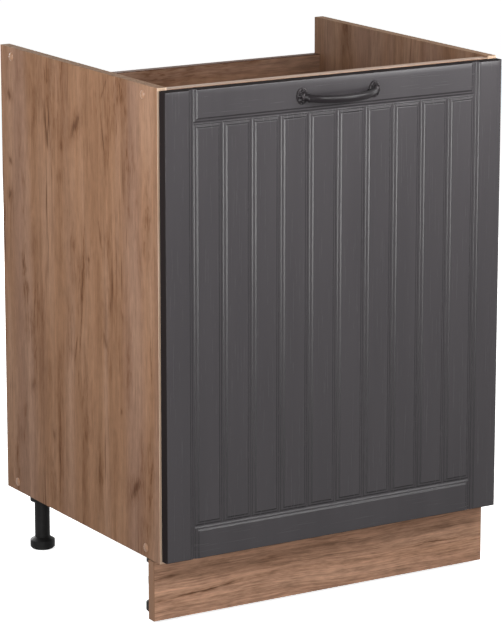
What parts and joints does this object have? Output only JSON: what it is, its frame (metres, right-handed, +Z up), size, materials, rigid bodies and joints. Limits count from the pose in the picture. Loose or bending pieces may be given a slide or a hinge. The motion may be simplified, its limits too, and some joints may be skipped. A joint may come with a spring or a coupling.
{
  "type": "sink base cabinet",
  "caption": "Floor-standing kitchen sink base with an open top and back, a grooved hinged door with a bow handle, a clip-on plinth and adjustable legs.",
  "frame": {"origin": "on the floor, in the middle of the overall width and of the overall depth from handle to back edge", "axes": "+X to the right seen from the front, +Y from the door to the back, +Z up"},
  "size_m": [0.6032, 0.544, 0.82],
  "materials": {
    "oak_laminate": "satin oak laminate",
    "pale_band": "satin",
    "cap_plastic": "satin",
    "dowel_wood": "raw",
    "screw_steel": "zinc plated",
    "hinge_steel": "nickel plated",
    "door_foil": "grey foil over board",
    "handle_metal": "dark cast",
    "bumper_rubber": "soft",
    "leg_plastic": "moulded black"
  },
  "bodies": {
    "cabinet": {"left_side_panel": "oak_laminate", "right_side_panel": "oak_laminate", "bottom_panel": "oak_laminate", "front_rail": "oak_laminate", "rear_rail": "oak_laminate", "left_side_edge_band": "pale_band", "right_side_edge_band": "pale_band", "bottom_edge_band": "pale_band", "front_rail_edge_band": "pale_band", "rear_rail_edge_band": "pale_band", "left_cover_caps": "cap_plastic", "right_cover_caps": "cap_plastic", "rail_dowels": "dowel_wood", "bottom_panel_screws": "screw_steel", "rail_cam_bolts": "screw_steel", "rail_cam_locks": "screw_steel", "hinge_plate_screws": "screw_steel", "hinge_arm_screws": "screw_steel", "leg_socket_screws": "screw_steel", "upper_hinge_plate": "hinge_steel", "lower_hinge_plate": "hinge_steel", "upper_hinge_arm": "hinge_steel", "lower_hinge_arm": "hinge_steel", "front_left_leg_socket": "leg_plastic", "front_right_leg_socket": "leg_plastic", "rear_left_leg_socket": "leg_plastic", "rear_right_leg_socket": "leg_plastic", "front_left_leg_column": "leg_plastic", "front_right_leg_column": "leg_plastic", "rear_left_leg_column": "leg_plastic", "rear_right_leg_column": "leg_plastic"},
    "door": {"door_panel": "door_foil", "bow_handle": "handle_metal", "handle_screws": "screw_steel", "upper_hinge_cup": "hinge_steel", "lower_hinge_cup": "hinge_steel", "upper_hinge_pin": "hinge_steel", "lower_hinge_pin": "hinge_steel", "hinge_cup_screws": "screw_steel", "door_bumpers": "bumper_rubber"},
    "plinth": {"plinth_board": "oak_laminate", "plinth_edge_bands": "pale_band", "left_plinth_clip": "leg_plastic", "right_plinth_clip": "leg_plastic", "plinth_clip_screws": "screw_steel"},
    "foot_front_left": {"front_left_foot": "leg_plastic"},
    "foot_front_right": {"front_right_foot": "leg_plastic"},
    "foot_rear_left": {"rear_left_foot": "leg_plastic"},
    "foot_rear_right": {"rear_right_foot": "leg_plastic"}
  },
  "joints": [
    {"name": "door_hinge", "type": "hinge", "parent": "cabinet", "child": "door", "pos_m": [0.2923, -0.2352, 0.46], "axis": [0, 0, 1], "range_deg": [0, 95]},
    {"name": "plinth_pull", "type": "slide", "parent": "cabinet", "child": "plinth", "axis": [0, -1, 0], "range_m": [0, 0.08]},
    {"name": "front_left_foot_thread", "type": "slide", "parent": "cabinet", "child": "foot_front_left", "axis": [0, 0, -1], "range_m": [0, 0.02]},
    {"name": "front_right_foot_thread", "type": "slide", "parent": "cabinet", "child": "foot_front_right", "axis": [0, 0, -1], "range_m": [0, 0.02]},
    {"name": "rear_left_foot_thread", "type": "slide", "parent": "cabinet", "child": "foot_rear_left", "axis": [0, 0, -1], "range_m": [0, 0.02]},
    {"name": "rear_right_foot_thread", "type": "slide", "parent": "cabinet", "child": "foot_rear_right", "axis": [0, 0, -1], "range_m": [0, 0.02]}
  ]
}
